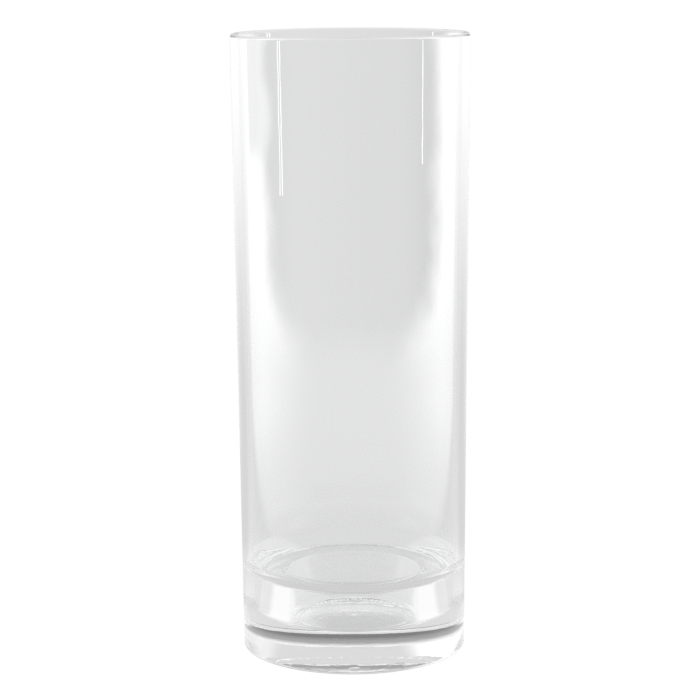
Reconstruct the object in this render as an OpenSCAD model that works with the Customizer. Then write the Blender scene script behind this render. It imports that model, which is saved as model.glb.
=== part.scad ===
// Cylinder vase for cut flowers: one piece of clear pressed glass, slightly wider at the
// lip than at the foot, with a heavy base that holds a narrower well.
// Millimetres, +Z up. The origin is the centre of the foot, so the vase stands on z = 0.

/* [Body] */
// Height from the foot to the top of the lip
height = 266.7; // [220:0.1:320]
// Outer diameter at the lip
rim_diameter = 101.6; // [98:0.1:116]
// Outer diameter at the foot
foot_diameter = 96.8; // [93:0.1:98]
// Wall thickness just below the lip
rim_wall = 2.8; // [2:0.1:4.5]
// Wall thickness just above the heavy base
lower_wall = 3.2; // [2.4:0.1:4.5]

/* [Base] */
// Height of the shelf where the wide cavity ends
shelf_height = 33.5; // [28:0.1:44]
// Radius of the inside corner between wall and shelf
shelf_fillet = 8; // [2:0.1:9]
// Radius of the rounded edge where the shelf drops into the well
shoulder_radius = 0.8; // [0.4:0.1:2]
// Diameter of the well in the heavy base
well_diameter = 56.8; // [52:0.2:58]
// Height of the floor of the well above the foot
well_floor = 14.5; // [10:0.1:18]
// Radius of the inside corner at the bottom of the well
well_fillet = 2; // [1:0.1:4]
// Radius of the heel, where the side meets the foot
heel_radius = 1; // [0.4:0.1:2]
// Width of the flat ring that the vase stands on
bearing_width = 3; // [2:0.1:9]
// Rise of the underside from the bearing ring to the middle
punt_rise = 2.1; // [1:0.1:5]

/* [Mould mark] */
// Mean diameter of the raised ring on the well floor
ring_diameter = 46.5; // [30:0.5:47]
// Width of the raised ring
ring_width = 1; // [0.6:0.1:2]
// Height of the raised ring and of the centre mark
mark_height = 0.2; // [0.1:0.05:0.5]
// Diameter of the centre mark
centre_mark_diameter = 3; // [1.5:0.1:6]

/* [Detail] */
// Facets of a full circle in previews
fineness = 128; // [64:16:256]

/* [Hidden] */
$fn = fineness;
rim_radius = rim_diameter / 2;
foot_radius = foot_diameter / 2;
well_radius = well_diameter / 2;
lip_radius = rim_wall / 2;
lip_level = height - lip_radius;
mouth_radius = rim_radius - lip_radius;
fillet_level = shelf_height + shelf_fillet;
heel_centre = foot_radius - heel_radius;
punt_radius = heel_centre - bearing_width;
dome_radius = (punt_radius * punt_radius + punt_rise * punt_rise) / (2 * punt_rise);
dome_angle = asin(punt_radius / dome_radius);
eps = 0.01;
arc_steps = 12;
glass_tint = [0.86, 0.89, 0.88, 0.35];

// Outer radius at height z, on the straight flared side.
function side(z) = foot_radius + (rim_radius - foot_radius) * z / height;

// Inner radius at height z, with the wall a little thicker towards the base.
function inside(z) = side(z) - lower_wall - (rim_wall - lower_wall) * z / height;

// Points of an arc about [x, z] from angle a to angle b.
function arc(x, z, r, a, b) =
    [for (i = [0 : arc_steps]) let (t = a + (b - a) * i / arc_steps) [x + r * cos(t), z + r * sin(t)]];

// Outer solid: foot with its shallow domed underside, heel, flared side and rounded lip.
module outer_body() {
    rotate_extrude()
        polygon(concat(
            [[0, height]],
            arc(0, punt_rise - dome_radius, dome_radius, 90, 90 - dome_angle),
            arc(heel_centre, heel_radius, heel_radius, -90, 0),
            arc(mouth_radius, lip_level, lip_radius, 0, 90)
        ));
}

// Space inside: the wide cavity down to the shelf, then the well.
module inner_space() {
    rotate_extrude()
        polygon(concat(
            [[0, height + 1], [mouth_radius, height + 1]],
            arc(mouth_radius, lip_level, lip_radius, 90, 180),
            arc(inside(fillet_level) - shelf_fillet, fillet_level, shelf_fillet, 0, -90),
            arc(well_radius + shoulder_radius, shelf_height - shoulder_radius, shoulder_radius, 90, 180),
            arc(well_radius - well_fillet, well_floor + well_fillet, well_fillet, 0, -90),
            [[0, well_floor]]
        ));
}

// A plain raised ring and centre mark on the well floor, where the mould left its marks.
module mould_marks() {
    difference() {
        translate([0, 0, well_floor - eps])
            cylinder(h = mark_height + eps, d = ring_diameter + ring_width);
        translate([0, 0, well_floor - 2 * eps])
            cylinder(h = mark_height + 4 * eps, d = ring_diameter - ring_width);
    }
    translate([0, 0, well_floor - eps])
        cylinder(h = mark_height + eps, d = centre_mark_diameter);
}

module vessel() {
    color(glass_tint) {
        difference() {
            outer_body();
            inner_space();
        }
        mould_marks();
    }
}

vessel();
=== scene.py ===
"""Glass cylinder vase: one clear vessel with a heavy base, on a plain pale floor."""
import math
from collections import namedtuple

import bmesh
import bpy
from mathutils import Matrix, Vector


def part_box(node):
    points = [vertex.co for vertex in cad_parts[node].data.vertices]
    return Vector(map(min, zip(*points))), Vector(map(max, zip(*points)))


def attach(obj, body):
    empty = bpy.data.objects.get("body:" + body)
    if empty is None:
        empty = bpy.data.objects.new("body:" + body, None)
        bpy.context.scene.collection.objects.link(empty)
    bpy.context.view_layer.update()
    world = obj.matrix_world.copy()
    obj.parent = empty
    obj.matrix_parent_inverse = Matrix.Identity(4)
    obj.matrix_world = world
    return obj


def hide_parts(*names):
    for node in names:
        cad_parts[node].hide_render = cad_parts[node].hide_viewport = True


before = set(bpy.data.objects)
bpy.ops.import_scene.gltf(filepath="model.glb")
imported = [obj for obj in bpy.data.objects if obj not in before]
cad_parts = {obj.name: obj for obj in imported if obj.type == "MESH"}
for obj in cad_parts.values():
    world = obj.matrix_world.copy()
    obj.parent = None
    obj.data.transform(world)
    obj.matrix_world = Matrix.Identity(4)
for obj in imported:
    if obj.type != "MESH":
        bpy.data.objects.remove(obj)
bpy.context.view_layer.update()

# ---- Sizes, in metres. The overall ones come from the frame. ----
VESSEL_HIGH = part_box("vessel")[1]
HEIGHT = VESSEL_HIGH.z
RIM_RADIUS = VESSEL_HIGH.x
FOOT_RADIUS = 0.0484
RIM_WALL = 0.0028
LOWER_WALL = 0.0032
SHELF_HEIGHT = 0.0335
SHELF_FILLET = 0.008
SHOULDER_RADIUS = 0.0008
WELL_RADIUS = 0.0284
WELL_FLOOR = 0.0145
WELL_FILLET = 0.002
HEEL_RADIUS = 0.001
BEARING_WIDTH = 0.003
PUNT_RISE = 0.0021

# Facets round the vessel, the sharpest corner that is smoothed, and how close to its ends a
# straight run has an extra point.
SEGMENTS = 384
SMOOTH_ANGLE = math.radians(32)
HOLD = 0.00004
TINY = 1e-7

# Marks on the well floor: an arc of plain ridges on a thin ring, and a round centre mark.
MARK_RADIUS = 0.02325
MARK_LINE = 0.0004
RIDGE_LENGTH = 0.0024
RIDGE_HEIGHT = 0.0002
RIDGE_COUNT = 52
RIDGE_BEAT = 0.61
RIDGE_BEAT_SHARE = 0.6
RIDGE_SPREAD = math.radians(52)
CENTRE_MARK_RADIUS = 0.0015

# ---- Glass ----
GLASS_COLOUR = (0.991, 0.995, 0.993, 1)
GLASS_IOR = 1.5
WAVE_HEIGHT = 0.00003
WAVE_SCALE = 220
WAVE_STRETCH = 0.35
WAVE_RISE = (0.020, 0.055)
WAVE_LOW = 1.0
WAVE_HIGH = 0.12
BOUNCES = 400

# ---- Camera, fitted to the outline. ----
CAMERA_DISTANCE = 0.9915
CAMERA_HEIGHT = 0.3098
CAMERA_PITCH = math.radians(10.246)
CAMERA_YAW = math.radians(0.055)
CAMERA_ROLL = math.radians(0.401)
CAMERA_LENS = 119.88
CAMERA_SENSOR = 36

# ---- Studio. Levels are brightness. Pairs are the start and end of a soft step, in metres, or in
# degrees round the vase from straight behind it where the name ends in TURN. ----
FLOOR_SIZE = 6.0
FLOOR_DROP = 0.0001
SWEEP_RADIUS = 0.53
SWEEP_TOP = 1.1
SWEEP_STEPS = 144
WHITE = 1.12

# The panel behind the vase, the board beside it at the upper left, and the haze round both.
PANEL = 0.730
PANEL_LEAN = -0.40
PANEL_EDGE = -0.07
PANEL_EDGE_ACROSS = (0.040, 0.085)
PANEL_HALF = 0.092
PANEL_CORNER = 0.080
PANEL_SOFT = 0.020
PANEL_WOBBLE = 0.035
PANEL_WOBBLE_SCALE = 22
PANEL_FOOT = 0.035
BOARD = 0.90
BOARD_RISE = (0.155, 0.175)
BOARD_TURN = (15.5, 14.5)
HAZE = 1.0
HAZE_ACROSS = (0.025, 0.125)
HAZE_BEHIND = (0.12, 0.55)
AROUND_RISE = (0.0, 0.10)
AROUND_ACROSS = (0.03, 0.075)

# The table behind the vase and under its foot, with painted contact shade under the foot.
TABLE_NEAR = 0.735
TABLE_FAR = 0.785
TABLE_BEHIND = (0.12, 0.32)
TABLE_UNDER_SHADE = 0.575
TABLE_RING_SHADE = 0.63
TABLE_RING_OUT = (0.018, 0.032)
FOOT_OUT = (0.046, 0.051)

# Beside the panel, at the sides and in front.
BESIDE_NEAR = 0.80
BESIDE_LOW = 0.68
BESIDE_HIGH = 1.05
BESIDE_OUT = (0.14, 0.20)
BESIDE_RISE = (0.0, 0.25)
BESIDE_TURN = (16, 20)
SIDES = 0.85
SIDE_TABLE = 1.0
SIDE_TABLE_OUT = (0.15, 0.24)
SIDE_TABLE_TURN = (44, 60)
SIDE_TURN = (45, 60)
FRONT = 0.72
# The table in front is darker near the vase: painted shade.
FRONT_TABLE_SHADE = 0.40
FRONT_OUT = (0.10, 0.45)
FRONT_TURN = (85, 140)
UPPER = 0.85
UPPER_RISE = (0.24, 0.34)
UPPER_TURN = (60, 90)

# Level rings that face down, so they are met mainly by light that turned upward in the base. The
# two eaves are dark sheets of painted shade.
RING_STEPS = 60
RING_REACH = SWEEP_RADIUS - 0.002
RING_BACK = (-85, 85)
RING_FRONT = (86, 274)
EAVE_HEIGHT = 0.014
EAVE_INNER = 0.058
EAVE_LIGHT = 0.95
EAVE_GREY_SHADE = 0.42
EAVE_GREY_OUT = (0.058, 0.078)
EAVE_SHADE = 0.22
EAVE_DARK_OUT = (0.068, 0.150)
EAVE_TURN = (30, 46)
FRONT_EAVE_HEIGHT = 0.050
FRONT_EAVE_INNER = 0.056
FRONT_EAVE_LIGHT = 0.55
FRONT_EAVE_SHADE = 0.07
FRONT_EAVE_OUT = (0.09, 0.19)
FRONT_EAVE_TURN = (90, 135)
VALANCE_HEIGHT = 0.100
VALANCE_INNER = 0.15
VALANCE_LEFT = 1.3
VALANCE_LEFT_TURN = (11, 26)
VALANCE_RIGHT = 0.90
VALANCE_RIGHT_TURN = (22, 32)
VALANCE_MIDDLE = (-0.01, 0.01)

# Hairlines of light on the panel: name, degrees round from straight behind, and lower end.
LINE = 1.15
LINE_WIDTH = 0.0012
LINE_REACH = 0.525
LINE_TOP = 0.6
LINES = (
    ("line_left_a", -7.35, 0.138),
    ("line_left_b", -7.05, 0.138),
    ("line_right", 7.36, 0.158),
)

Place = namedtuple("Place", "x across behind height out angle")


# ---- Shapes ----
def side(z):
    """Outer radius of the flared side at height z."""
    return FOOT_RADIUS + (RIM_RADIUS - FOOT_RADIUS) * z / HEIGHT


def inside(z):
    """Inner radius of the wide cavity at height z."""
    return side(z) - LOWER_WALL - (RIM_WALL - LOWER_WALL) * z / HEIGHT


def arc(x, z, radius, start, end, steps):
    """Points of an arc about (x, z) from angle start to angle end, in degrees."""
    angles = [math.radians(start + (end - start) * i / steps) for i in range(steps + 1)]
    return [(x + radius * math.cos(a), z + radius * math.sin(a)) for a in angles]


def run(start, end, steps):
    """Points between two profile points. The outer ones are close to the ends, for flat shading."""
    (x0, z0), (x1, z1) = start, end
    hold = HOLD / math.hypot(x1 - x0, z1 - z0)
    shares = [hold] + [i / steps for i in range(1, steps)] + [1 - hold]
    return [(x0 + (x1 - x0) * s, z0 + (z1 - z0) * s) for s in shares]


def vessel_profile():
    """Closed profile from the middle of the underside, up the outside and down the inside."""
    lip = RIM_WALL / 2
    lip_centre = RIM_RADIUS - lip
    lip_level = HEIGHT - lip
    heel = FOOT_RADIUS - HEEL_RADIUS
    punt = heel - BEARING_WIDTH
    dome = (punt ** 2 + PUNT_RISE ** 2) / (2 * PUNT_RISE)
    dome_angle = math.degrees(math.asin(punt / dome))
    fillet_level = SHELF_HEIGHT + SHELF_FILLET
    fillet_centre = inside(fillet_level) - SHELF_FILLET
    well_centre = WELL_RADIUS - WELL_FILLET
    shoulder_centre = WELL_RADIUS + SHOULDER_RADIUS
    shoulder_level = SHELF_HEIGHT - SHOULDER_RADIUS
    underside = arc(0, PUNT_RISE - dome, dome, 90, 90 - dome_angle, steps=32)
    heel_arc = arc(heel, HEEL_RADIUS, HEEL_RADIUS, -90, 0, steps=10)
    lip_arc = arc(lip_centre, lip_level, lip, 0, 180, steps=24)
    corner = arc(fillet_centre, fillet_level, SHELF_FILLET, 0, -90, steps=36)
    shoulder = arc(shoulder_centre, shoulder_level, SHOULDER_RADIUS, 90, 180, steps=12)
    well_corner = arc(well_centre, WELL_FLOOR + WELL_FILLET, WELL_FILLET, 0, -90, steps=16)
    middle = (0, WELL_FLOOR)
    points = underside + run(underside[-1], heel_arc[0], steps=3) + heel_arc
    points += run(heel_arc[-1], lip_arc[0], steps=40) + lip_arc
    points += run(lip_arc[-1], corner[0], steps=40) + corner
    points += run(corner[-1], shoulder[0], steps=4) + shoulder
    points += run(shoulder[-1], well_corner[0], steps=6) + well_corner
    points += run(well_corner[-1], middle, steps=66)[:-1] + [middle]
    return points


def mark_height(radius, angle):
    """Height of the moulded marks above the well floor. The arc of ridges is at the back."""
    if radius < CENTRE_MARK_RADIUS:
        return RIDGE_HEIGHT
    away = abs(radius - MARK_RADIUS)
    if away > RIDGE_LENGTH / 2:
        return 0.0
    if abs(angle - math.pi / 2) < RIDGE_SPREAD:
        wave = math.cos(RIDGE_COUNT * angle)
        wave += RIDGE_BEAT_SHARE * math.cos(RIDGE_BEAT * RIDGE_COUNT * angle)
        return RIDGE_HEIGHT if wave > 0 else 0.0
    return RIDGE_HEIGHT / 2 if away < MARK_LINE else 0.0


def lathe(name, profile):
    """Turns a profile of (radius, height) points into a closed mesh."""
    mesh = bmesh.new()
    rings = []
    for radius, z in profile:
        if radius < TINY:
            rings.append([mesh.verts.new((0, 0, z))] * SEGMENTS)
            continue
        ring = []
        for i in range(SEGMENTS):
            angle = 2 * math.pi * i / SEGMENTS
            lift = mark_height(radius, angle) if abs(z - WELL_FLOOR) < TINY else 0.0
            x, y = radius * math.cos(angle), radius * math.sin(angle)
            ring.append(mesh.verts.new((x, y, z + lift)))
        rings.append(ring)
    for lower, upper in zip(rings, rings[1:]):
        for i in range(SEGMENTS):
            j = (i + 1) % SEGMENTS
            corners = dict.fromkeys([lower[i], lower[j], upper[j], upper[i]])
            mesh.faces.new(list(corners)).smooth = True
    bmesh.ops.recalc_face_normals(mesh, faces=mesh.faces)
    data = bpy.data.meshes.new(name)
    mesh.to_mesh(data)
    mesh.free()
    data.set_sharp_from_angle(angle=SMOOTH_ANGLE)
    piece = bpy.data.objects.new(name, data)
    bpy.context.scene.collection.objects.link(piece)
    return piece


# ---- Materials ----
def new_material(name):
    """An empty node material: the material, its node tree and its output node."""
    material = bpy.data.materials.new(name)
    material.use_nodes = True
    nodes = material.node_tree.nodes
    nodes.clear()
    return material, material.node_tree, nodes.new("ShaderNodeOutputMaterial")


def maths(tree, operation, first, second=0.0):
    """One arithmetic node. Each value is a number or a socket."""
    node = tree.nodes.new("ShaderNodeMath")
    node.operation = operation
    for socket, value in zip(node.inputs, (first, second)):
        if isinstance(value, (int, float)):
            socket.default_value = value
        else:
            tree.links.new(value, socket)
    return node.outputs["Value"]


def ease(tree, value, start, end, low=0.0, high=1.0):
    """A smooth step of value from low at start to high at end."""
    node = tree.nodes.new("ShaderNodeMapRange")
    node.interpolation_type = "SMOOTHSTEP"
    node.inputs["From Min"].default_value = start
    node.inputs["From Max"].default_value = end
    node.inputs["To Min"].default_value = low
    node.inputs["To Max"].default_value = high
    tree.links.new(value, node.inputs["Value"])
    return node.outputs["Result"]


def times(tree, first, second):
    """The product of two values."""
    return maths(tree, "MULTIPLY", first, second)


def blend(tree, share, low, high):
    """A mix of low and high by share. Each is a number or a socket."""
    return maths(tree, "ADD", low, times(tree, share, maths(tree, "SUBTRACT", high, low)))


def glass_material():
    """Clear soda-lime glass with the faint waviness of a moulded vessel."""
    material, tree, output = new_material("clear_glass")
    shader = tree.nodes.new("ShaderNodeBsdfPrincipled")
    shader.inputs["Base Color"].default_value = GLASS_COLOUR
    shader.inputs["Transmission Weight"].default_value = 1.0
    shader.inputs["IOR"].default_value = GLASS_IOR
    shader.inputs["Roughness"].default_value = 0.0
    place = tree.nodes.new("ShaderNodeTexCoord").outputs["Object"]
    stretch = tree.nodes.new("ShaderNodeMapping")
    stretch.inputs["Scale"].default_value = (1, 1, WAVE_STRETCH)
    tree.links.new(place, stretch.inputs["Vector"])
    waves = tree.nodes.new("ShaderNodeTexNoise")
    waves.inputs["Scale"].default_value = WAVE_SCALE
    waves.inputs["Detail"].default_value = 1.0
    tree.links.new(stretch.outputs["Vector"], waves.inputs["Vector"])
    height = tree.nodes.new("ShaderNodeSeparateXYZ")
    tree.links.new(place, height.inputs["Vector"])
    amount = ease(tree, height.outputs["Z"], *WAVE_RISE, WAVE_LOW, WAVE_HIGH)
    bump = tree.nodes.new("ShaderNodeBump")
    bump.inputs["Strength"].default_value = 1.0
    bump.inputs["Distance"].default_value = WAVE_HEIGHT
    tree.links.new(times(tree, waves.outputs[0], amount), bump.inputs["Height"])
    tree.links.new(bump.outputs["Normal"], shader.inputs["Normal"])
    tree.links.new(shader.outputs["BSDF"], output.inputs["Surface"])
    return material


def glow(tree, output, level):
    """Even light of the given level, a number or a socket."""
    light = tree.nodes.new("ShaderNodeEmission")
    light.inputs["Color"].default_value = (1, 1, 1, 1)
    if isinstance(level, (int, float)):
        light.inputs["Strength"].default_value = level
    else:
        tree.links.new(level, light.inputs["Strength"])
    tree.links.new(light.outputs["Emission"], output.inputs["Surface"])
    return light


def plan(tree):
    """Sockets for where a point is. The angle is round from straight behind the vase."""
    place = tree.nodes.new("ShaderNodeNewGeometry").outputs["Position"]
    parts = tree.nodes.new("ShaderNodeSeparateXYZ")
    tree.links.new(place, parts.inputs["Vector"])
    x, behind, height = (parts.outputs[axis] for axis in "XYZ")
    across = maths(tree, "ABSOLUTE", x)
    squares = maths(tree, "ADD", times(tree, x, x), times(tree, behind, behind))
    out = maths(tree, "SQRT", squares)
    return Place(x, across, behind, height, out, maths(tree, "ARCTAN2", across, behind))


def turn(tree, angle, start, end):
    """A smooth step of the angle round the vase, from start to end in degrees."""
    return ease(tree, angle, math.radians(start), math.radians(end))


def uneven(tree, scale, amount):
    """Smooth noise in space, centred on nothing, of about the given amount."""
    noise = tree.nodes.new("ShaderNodeTexNoise")
    noise.inputs["Scale"].default_value = scale
    noise.inputs["Detail"].default_value = 2.0
    place = tree.nodes.new("ShaderNodeNewGeometry").outputs["Position"]
    tree.links.new(place, noise.inputs["Vector"])
    return times(tree, maths(tree, "SUBTRACT", noise.outputs[0], 0.5), amount)


def table_material():
    """The table as the glass sees it: grey behind, white beside, with painted shade in front and
    painted contact shade under the foot.
    """
    material, tree, output = new_material("table_in_glass")
    at = plan(tree)
    middle = ease(tree, at.behind, *TABLE_BEHIND, TABLE_NEAR, TABLE_FAR)
    haze = times(tree, ease(tree, at.across, *HAZE_ACROSS), ease(tree, at.behind, *HAZE_BEHIND))
    back = blend(tree, haze, middle, HAZE)
    flank = ease(tree, at.out, *BESIDE_OUT, BESIDE_NEAR, BESIDE_LOW)
    back = blend(tree, turn(tree, at.angle, *BESIDE_TURN), back, flank)
    beside = ease(tree, at.out, *SIDE_TABLE_OUT, SIDE_TABLE, SIDES)
    level = blend(tree, turn(tree, at.angle, *SIDE_TABLE_TURN), back, beside)
    # Painted shade: the table in front of the vase is darker near it.
    front = ease(tree, at.out, *FRONT_OUT, FRONT_TABLE_SHADE, FRONT)
    level = blend(tree, turn(tree, at.angle, *FRONT_TURN), level, front)
    # Painted contact shade: the table under the foot is darker than the table round it.
    under = ease(tree, at.out, *TABLE_RING_OUT, TABLE_UNDER_SHADE, TABLE_RING_SHADE)
    glow(tree, output, blend(tree, ease(tree, at.out, *FOOT_OUT), under, level))
    return material


def outside_panel(tree, at):
    """0 on the panel and 1 outside it, with a soft, uneven edge and rounded lower corners."""
    beyond = maths(tree, "SUBTRACT", at.across, PANEL_HALF - PANEL_CORNER)
    beyond = maths(tree, "MAXIMUM", beyond, 0.0)
    under = maths(tree, "SUBTRACT", PANEL_FOOT + PANEL_CORNER, at.height)
    under = maths(tree, "MAXIMUM", under, 0.0)
    squares = maths(tree, "ADD", times(tree, beyond, beyond), times(tree, under, under))
    wobble = uneven(tree, PANEL_WOBBLE_SCALE, PANEL_WOBBLE)
    edge = maths(tree, "ADD", maths(tree, "SQRT", squares), wobble)
    return ease(tree, edge, PANEL_CORNER - PANEL_SOFT, PANEL_CORNER + PANEL_SOFT)


def sweep_material():
    """The surround: a grey panel behind, haze and a pale board beside it, pale sides and front."""
    material, tree, output = new_material("sweep")
    at = plan(tree)
    outside = outside_panel(tree, at)
    middle = blend(tree, ease(tree, at.across, *HAZE_ACROSS), TABLE_FAR, HAZE)
    around = blend(tree, ease(tree, at.height, *AROUND_RISE), middle, WHITE)
    around = blend(tree, ease(tree, at.across, *AROUND_ACROSS), middle, around)
    lean = maths(tree, "ADD", PANEL, times(tree, at.x, PANEL_LEAN))
    fall = ease(tree, at.across, *PANEL_EDGE_ACROSS, 0.0, PANEL_EDGE)
    back = blend(tree, outside, maths(tree, "ADD", lean, fall), around)
    left = maths(tree, "LESS_THAN", at.x, 0.0)
    board = times(tree, left, ease(tree, at.height, *BOARD_RISE))
    board = times(tree, times(tree, board, outside), turn(tree, at.angle, *BOARD_TURN))
    back = blend(tree, board, back, BOARD)
    graded = ease(tree, at.height, *BESIDE_RISE, BESIDE_LOW, BESIDE_HIGH)
    back = blend(tree, turn(tree, at.angle, *BESIDE_TURN), back, graded)
    level = blend(tree, turn(tree, at.angle, *SIDE_TURN), back, SIDES)
    level = blend(tree, turn(tree, at.angle, *FRONT_TURN), level, FRONT)
    upper = blend(tree, turn(tree, at.angle, *UPPER_TURN), level, UPPER)
    glow(tree, output, blend(tree, ease(tree, at.height, *UPPER_RISE), level, upper))
    return material


def one_sided(name, level):
    """Light of the given level seen from below, and nothing from above."""
    material, tree, output = new_material(name)
    light = glow(tree, output, level(tree))
    side_seen = tree.nodes.new("ShaderNodeNewGeometry").outputs["Backfacing"]
    clear = tree.nodes.new("ShaderNodeBsdfTransparent")
    mix = tree.nodes.new("ShaderNodeMixShader")
    tree.links.new(side_seen, mix.inputs[0])
    tree.links.new(light.outputs["Emission"], mix.inputs[1])
    tree.links.new(clear.outputs["BSDF"], mix.inputs[2])
    tree.links.new(mix.outputs["Shader"], output.inputs["Surface"])
    return material


def eave_shade_level(tree):
    """Painted shade, darker with distance, so the lowest upward rays meet the darkest part. White
    at its ends.
    """
    at = plan(tree)
    near = ease(tree, at.out, *EAVE_GREY_OUT, EAVE_LIGHT, EAVE_GREY_SHADE)
    level = blend(tree, ease(tree, at.out, *EAVE_DARK_OUT), near, EAVE_SHADE)
    return blend(tree, turn(tree, at.angle, *EAVE_TURN), level, WHITE)


def front_eave_shade_level(tree):
    """Painted shade, dark far out and lighter near the vase, and white towards its ends."""
    at = plan(tree)
    dark = ease(tree, at.out, *FRONT_EAVE_OUT, FRONT_EAVE_LIGHT, FRONT_EAVE_SHADE)
    return blend(tree, turn(tree, at.angle, *FRONT_EAVE_TURN), WHITE, dark)


def valance_level(tree):
    """The grey of the panel in the middle, white at the left end and pale at the right."""
    at = plan(tree)
    left = blend(tree, turn(tree, at.angle, *VALANCE_LEFT_TURN), PANEL, VALANCE_LEFT)
    right = blend(tree, turn(tree, at.angle, *VALANCE_RIGHT_TURN), PANEL, VALANCE_RIGHT)
    return blend(tree, ease(tree, at.x, *VALANCE_MIDDLE), left, right)


# ---- Stage and camera ----
def stage_piece(name, points, faces, material, camera):
    """A studio surface that only the camera sees, or only the glass sees."""
    mesh = bpy.data.meshes.new(name)
    mesh.from_pydata(points, [], faces)
    mesh.materials.append(material)
    thing = bpy.data.objects.new(name, mesh)
    bpy.context.scene.collection.objects.link(thing)
    thing.visible_camera = camera
    thing.visible_transmission = not camera
    thing.visible_glossy = not camera


def floor(name, material, camera):
    """A level sheet just under the foot."""
    half = FLOOR_SIZE / 2
    corners = [(x * half, y * half, -FLOOR_DROP) for x, y in ((-1, -1), (1, -1), (1, 1), (-1, 1))]
    stage_piece(name, corners, [(0, 1, 2, 3)], material, camera)


def around_vase(start, end, steps):
    """Directions (x, y) round the vase between two angles, in degrees from straight behind."""
    angles = [math.radians(start + (end - start) * i / steps) for i in range(steps + 1)]
    return [(math.sin(a), math.cos(a)) for a in angles]


def drum(name, radius, low, high, start, end, steps, material):
    """Part of an upright drum round the vase."""
    directions = around_vase(start, end, steps)
    points = [(radius * x, radius * y, z) for x, y in directions for z in (low, high)]
    faces = [(2 * i, 2 * i + 2, 2 * i + 3, 2 * i + 1) for i in range(steps)]
    stage_piece(name, points, faces, material, camera=False)


def level_ring(name, height, inner, span, level):
    """Part of a level ring round the vase, facing down."""
    directions = around_vase(*span, RING_STEPS)
    points = [(r * x, r * y, height) for x, y in directions for r in (inner, RING_REACH)]
    faces = [(2 * i, 2 * i + 1, 2 * i + 3, 2 * i + 2) for i in range(RING_STEPS)]
    stage_piece(name, points, faces, one_sided(name, level), camera=False)


def hairline(name, azimuth, low):
    """A thin line of light down the panel, from the given height up."""
    material, tree, output = new_material(name)
    glow(tree, output, LINE)
    reach = math.degrees(LINE_WIDTH / LINE_REACH) / 2
    drum(name, LINE_REACH, low, LINE_TOP, azimuth - reach, azimuth + reach, 2, material)


def studio():
    """A white floor and surround for the camera, and the stage that only the glass sees."""
    world = bpy.data.worlds.new("surround")
    bpy.context.scene.world = world
    world.use_nodes = True
    background = world.node_tree.nodes["Background"]
    background.inputs["Color"].default_value = (1, 1, 1, 1)
    background.inputs["Strength"].default_value = 1.0
    pale, tree, output = new_material("floor")
    glow(tree, output, 1.0)
    floor("floor", pale, camera=True)
    floor("floor_in_glass", table_material(), camera=False)
    drum("sweep", SWEEP_RADIUS, 0.0, SWEEP_TOP, -180, 180, SWEEP_STEPS, sweep_material())
    # The two eaves are sheets of painted shade, dark far out from the vase.
    level_ring("eave", EAVE_HEIGHT, EAVE_INNER, RING_BACK, eave_shade_level)
    level_ring("front_eave", FRONT_EAVE_HEIGHT, FRONT_EAVE_INNER, RING_FRONT, front_eave_shade_level)
    level_ring("valance", VALANCE_HEIGHT, VALANCE_INNER, RING_BACK, valance_level)
    for name, azimuth, low in LINES:
        hairline(name, azimuth, low)


def camera():
    """The viewpoint: in front of the vase, a little above its lip and looking slightly down."""
    data = bpy.data.cameras.new("camera")
    data.sensor_width = CAMERA_SENSOR
    data.lens = CAMERA_LENS
    data.clip_start = 0.01
    data.clip_end = 50
    thing = bpy.data.objects.new("camera", data)
    bpy.context.scene.collection.objects.link(thing)
    place = Matrix.Translation((0, -CAMERA_DISTANCE, CAMERA_HEIGHT))
    yaw = Matrix.Rotation(CAMERA_YAW, 4, "Z")
    tilt = Matrix.Rotation(math.pi / 2 - CAMERA_PITCH, 4, "X")
    roll = Matrix.Rotation(-CAMERA_ROLL, 4, "Z")
    thing.matrix_world = place @ yaw @ tilt @ roll
    bpy.context.scene.camera = thing


# ---- The vase ----
vessel = lathe("vessel_glass", vessel_profile())
vessel.data.materials.append(glass_material())
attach(vessel, "root")
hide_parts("vessel")

studio()
camera()

scene = bpy.context.scene
scene.view_settings.view_transform = "Standard"
scene.cycles.max_bounces = BOUNCES
scene.cycles.transmission_bounces = BOUNCES
scene.cycles.glossy_bounces = BOUNCES
scene.cycles.use_denoising = False
